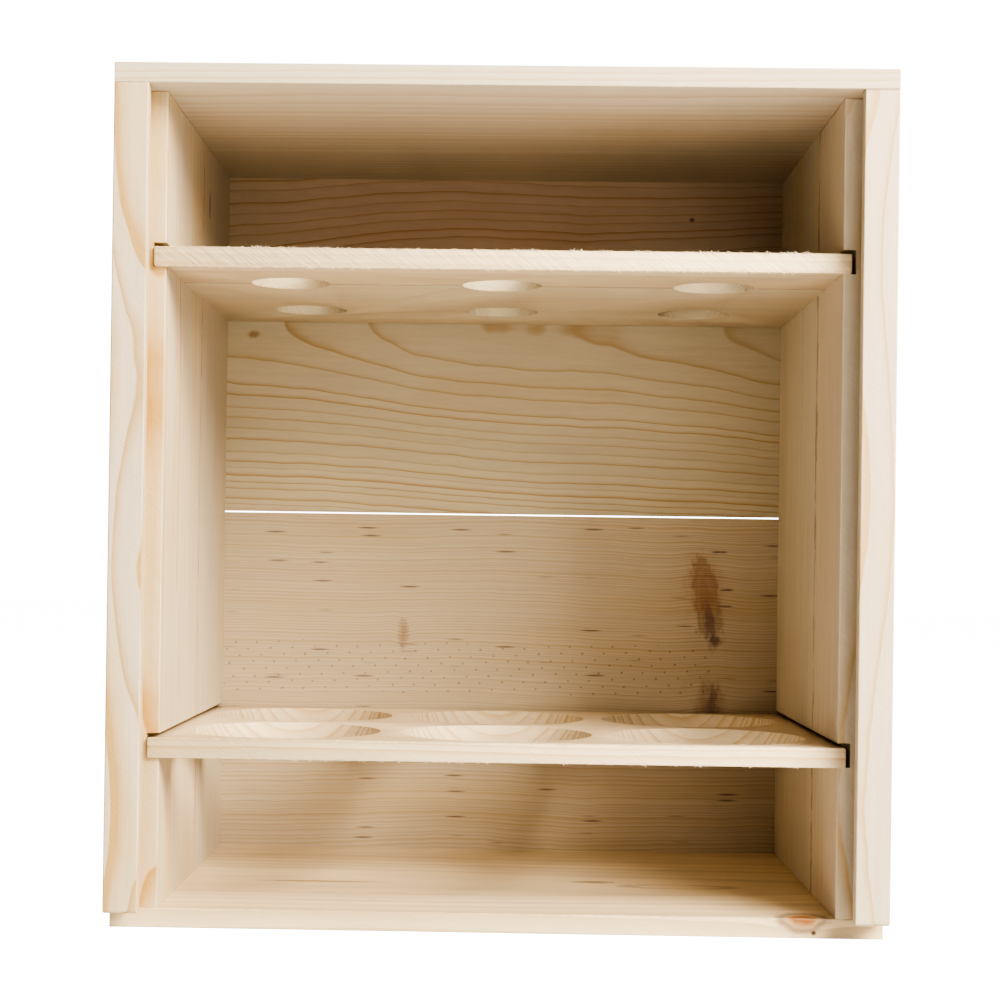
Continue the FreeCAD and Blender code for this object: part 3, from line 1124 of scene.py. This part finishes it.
@dataclass
class TornEdge:
    """The fibres that a saw or a bore has torn loose along an edge.

    Attributes:
        name: The piece's name.
        body: The body that it rides on.
        seed: A number that sets the fibres' sizes.
        length: The length of the longest fibre.
        thickness: The radius of a fibre at its root.
        cuts: The heights at which a fibre can bend, as shares of its length.
        curl: For each height in turn, how far what lies above it is pushed aside, in the same shares.
    """

    name: str
    body: str
    seed: int
    length: float = 1.15 * MM
    thickness: float = 0.2 * MM
    cuts: tuple[float, ...] = (0.35, 0.7)
    curl: tuple[tuple[float, float], ...] = ((0.3, 0.1), (0.6, 0.2), (0.9, 0.3))

    def sliver(self) -> Piece:
        """Model one curled sliver, its root at the origin and its tip up.

        Returns:
            The sliver.
        """
        Bench.clear()
        bpy.ops.mesh.primitive_cone_add(
            vertices=5, radius1=self.thickness, radius2=self.thickness * 0.25, depth=self.length,
            location=(0.0, 0.0, self.length / 2),
        )
        sliver = bpy.context.object
        bpy.ops.object.transform_apply(location=True)
        with Bench.editing():
            for cut in self.cuts:
                bpy.ops.mesh.select_all(action="SELECT")
                bpy.ops.mesh.bisect(plane_co=(0.0, 0.0, self.length * cut), plane_no=(0.0, 0.0, 1.0))
        for height, push in self.curl:
            with Bench.editing():
                bpy.ops.mesh.select_all(action="DESELECT")
            for vertex in sliver.data.vertices:
                vertex.select = vertex.co.z > self.length * height
            with Bench.editing():
                bpy.ops.transform.translate(value=(self.length * push, 0.0, 0.0))
        return sliver

    def bunch(self) -> Piece:
        """Set a few slivers of different lengths side by side, leaning apart.

        Returns:
            The bunch, its roots along X.
        """
        first = self.sliver()
        slivers = [first]
        # The others' places along the edge in millimetres, their sizes, and their leans in degrees.
        others = ((-0.9, 0.7, -50.0), (-0.35, 0.45, 25.0), (0.5, 0.8, 70.0), (1.1, 0.4, 10.0))
        for along, size, lean in others:
            copy = Bench.copy(first)
            copy.location = (along * MM, 0.0, 0.0)
            copy.rotation_euler = [math.radians(share * lean) for share in (0.3, 0.6, 4.0)]
            copy.scale = (size, size, size)
            slivers.append(copy)
        return self.joined(slivers)

    @staticmethod
    def joined(pieces: list[Piece]) -> Piece:
        """Join pieces to one, left unturned at the origin.

        Args:
            pieces: The pieces, in order.

        Returns:
            The one piece.
        """
        Bench.clear()
        for piece in pieces:
            piece.select_set(True)
        bpy.context.view_layer.objects.active = pieces[0]
        bpy.ops.object.join()
        bpy.ops.object.transform_apply(location=True, rotation=True, scale=True)
        return bpy.context.object

    def build(self, places: Places) -> None:
        """Set a copy of the bunch at each place, and join them to one piece.

        Args:
            places: The root and the direction of each bunch.
        """
        rng = random.Random(self.seed)
        first = self.bunch()
        copies = []
        for root, way in places:
            copy = Bench.copy(first)
            size = 0.3 + 0.7 * rng.random() ** 2
            copy.scale = (rng.choice((-1.0, 1.0)) * rng.uniform(0.5, 1.3), 1.0, size)
            spin = Euler((0.0, 0.0, rng.uniform(-0.4, 0.4))).to_quaternion()
            copy.rotation_euler = (way.to_track_quat("Z", "Y") @ spin).to_euler()
            copy.location = root
            copies.append(copy)
        bpy.data.objects.remove(first)
        piece = self.joined(copies)
        piece.name = self.name
        with Bench.editing():
            bpy.ops.mesh.select_all(action="SELECT")
            bpy.ops.mesh.normals_make_consistent(inside=False)
        Bench.smooth(piece, 60.0)
        Bench.dress(piece, TornFibre(self.name).material())
        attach(piece, self.body)
        LOG.info("%s: %d bunches", self.name, len(copies))


@dataclass
class Racks:
    """The two racks: the bottle rack below, and the neck rack's two boards above.

    Attributes:
        end_margin: The bare length at each end of a torn edge.
        root_depth: How deep a fibre's root lies in the wood.
    """

    end_margin: float = 14.0 * MM
    root_depth: float = 0.1 * MM

    def boards(self) -> list[RackBoard]:
        """Choose the wood of each rack board.

        Returns:
            The boards, not built yet.
        """
        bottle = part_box("bottle_rack")[0]
        neck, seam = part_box("neck_rack_front_strip")
        bottle_wood = Softwood(
            "bottle_rack_wood", Grain.ACROSS, (0.0, bottle.y - 0.075, bottle.z - 0.085), (0.05, 0.05),
            width=0.0025, bow=0.0006, late=0.6, sharpness=4.5, saw=0.5,
            pale=(0.92, 0.7, 0.43), dark=(0.74, 0.46, 0.19),
        )
        rear_wood = replace(
            bottle_wood, name="neck_rack_wood", heart=(0.0, neck.y - 0.03, neck.z - 0.06),
            lean=(0.1, 0.2), width=0.0022, late=0.36, sharpness=4.0, pale=(0.79, 0.635, 0.4), saw=0.6,
            seam=seam.y + 0.8 * MM, seam_width=0.0018,
        )
        strip_wood = replace(
            bottle_wood, name="neck_rack_strip_wood", heart=(0.0, neck.y + 0.03, neck.z - 0.1),
            lean=(0.15, -0.2), width=0.0028, late=0.3, sharpness=3.0, saw=1.25,
        )
        return [
            RackBoard("bottle_rack", "lower_rack", bottle_wood, "bottle_hole"),
            RackBoard("neck_rack_rear_board", "upper_rack", rear_wood, "neck_hole"),
            RackBoard("neck_rack_front_strip", "upper_rack_strip", strip_wood, "neck_hole"),
        ]

    def build(self) -> None:
        """Build the racks' boards, then the torn fibres on them."""
        boards = self.boards()
        for board in boards:
            board.build()
        bottle, _, strip = boards
        torn = self.rim_places(bottle, count=36) + self.edge_places(bottle, seed=31, count=70, upper=0.25)
        TornEdge("torn_fibres_bottle_rack", bottle.body, seed=31).build(torn)
        torn = self.edge_places(strip, seed=32, count=300, upper=0.55)
        TornEdge("torn_fibres_neck_rack", strip.body, seed=32).build(torn)

    def edge_places(self, board: RackBoard, seed: int, count: int, upper: float) -> Places:
        """Choose where bunches of fibres stand along a board's front edges.

        Args:
            board: The rack board.
            seed: A number that sets where the bunches lie.
            count: How many bunches there are.
            upper: The share that stand on the upper edge.

        Returns:
            The root and the direction of each bunch.
        """
        low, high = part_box(board.node)
        rng = random.Random(seed)
        places = []
        for _ in range(count):
            above = rng.random() < upper
            x = rng.uniform(low.x + self.end_margin, high.x - self.end_margin)
            y = low.y + rng.uniform(0.1, 0.3) * MM
            z = high.z - self.root_depth if above else low.z + self.root_depth
            rise = rng.uniform(0.5, 1.0) * (1.0 if above else -1.0)
            way = Vector((rng.uniform(-0.4, 0.4), rng.uniform(-0.5, 0.0), rise))
            places.append((Vector((x, y, z)), way.normalized()))
        return places

    def rim_places(self, board: RackBoard, count: int) -> Places:
        """Choose where fibres stand on the upper rims of a board's front holes, nearest to its front edge.

        Args:
            board: The rack board.
            count: How many fibres there are.

        Returns:
            The root and the direction of each fibre.
        """
        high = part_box(board.node)[1]
        front = [hole for hole in board.holes() if hole.y < 0.0]
        rng = random.Random(count)
        places = []
        for _ in range(count):
            hole = rng.choice(front)
            turn = math.radians(-90.0 + rng.gauss(0.0, 32.0))
            out = Vector((math.cos(turn), math.sin(turn), 0.0))
            middle = Vector((hole.x, hole.y, high.z - self.root_depth))
            root = middle + out * (hole.radius + self.root_depth)
            way = Vector((rng.uniform(-0.8, 0.8), 0.0, rng.uniform(0.2, 0.9))) - out * 0.6
            places.append((root, way.normalized()))
        return places


# --- Studio ---
@dataclass
class Studio:
    """The floor, the lights and the camera.

    Attributes:
        camera_place: The camera's place.
        camera_turn: The camera's turns, in degrees.
        focal_length: In millimetres, for a frame 36 mm wide.
        shift: The frame's shift, as shares of its width.
        ambient: The strength of the light from all around.
        backdrop: How much brighter the camera sees it.
    """

    camera_place: Point = (0.0014, -0.8364, 0.139)
    camera_turn: Point = (90.342, -0.787, 0.997)
    focal_length: float = 71.82
    shift: tuple[float, float] = (0.0313, 0.0531)
    ambient: float = 0.11
    backdrop: float = 3.05

    def build(self) -> None:
        """Set everything up."""
        self.floor()
        self.light()
        self.world()
        self.camera()
        view = bpy.context.scene.view_settings
        view.view_transform = "AgX"
        view.look = "AgX - Very High Contrast"

    def floor(self) -> None:
        """Lay a plain pale floor."""
        Bench.clear()
        bpy.ops.mesh.primitive_plane_add(size=12.0, location=ORIGIN)
        floor = bpy.context.object
        floor.name = "floor"
        Bench.dress(floor, PaleFloor().material())

    def lamp(
        self, name: str, azimuth: float, height: float, distance: float, size: float, power: float,
    ) -> None:
        """Hang a square soft light that faces the box.

        Args:
            name: The light's name.
            azimuth: Its bearing to the right of the open front, in degrees.
            height: Its elevation, in degrees.
            distance: How far it is from the box.
            size: The length of its side.
            power: In watts.
        """
        aim = Vector((0.0, -0.05, 0.16))
        turn = Euler((math.radians(90.0 - height), 0.0, math.radians(azimuth)))
        Bench.clear()
        bpy.ops.object.light_add(type="AREA")
        lamp = bpy.context.object
        lamp.name = name
        lamp.data.shape = "SQUARE"
        lamp.data.size = size
        lamp.data.energy = power
        lamp.rotation_euler = turn
        lamp.location = aim + turn.to_matrix() @ Vector((0.0, 0.0, distance))

    def light(self) -> None:
        """Hang the key light high on the right, a weak one in front, and one behind the box."""
        self.lamp("key_light", azimuth=47.0, height=31.0, distance=1.4, size=0.78, power=33.5)
        self.lamp("front_light", azimuth=15.0, height=6.0, distance=1.6, size=0.6, power=3.6)
        self.lamp("back_light", azimuth=215.0, height=35.0, distance=1.6, size=0.9, power=13.0)

    def world(self) -> None:
        """Surround the box with weak light, which the camera sees as a bright backdrop."""
        world = bpy.data.worlds.new("studio")
        bpy.context.scene.world = world
        world.use_nodes = True
        tree = Tree(world.node_tree)
        seen = tree.add("LightPath").outputs["Is Camera Ray"]
        strength = tree.weigh(seen, self.backdrop, self.ambient)
        back = tree.add("Background", {"Color": WHITE, "Strength": strength})
        tree.add("OutputWorld", {"Surface": back.outputs[0]})

    def camera(self) -> None:
        """Set the camera level with the lower part of the box, straight in front of it."""
        Bench.clear()
        turn = [math.radians(angle) for angle in self.camera_turn]
        bpy.ops.object.camera_add(location=self.camera_place, rotation=turn)
        camera = bpy.context.object
        camera.data.sensor_width = 36.0
        camera.data.lens = self.focal_length
        camera.data.shift_x, camera.data.shift_y = self.shift
        camera.data.clip_start = 0.01
        bpy.context.scene.camera = camera


def main() -> None:
    """Build the racks, dress the casing and set up the studio."""
    logging.basicConfig(level=logging.INFO, format="%(message)s")
    Casing().dress()
    Racks().build()
    Studio().build()
    Bench.clear()


if __name__ == "__main__":
    main()
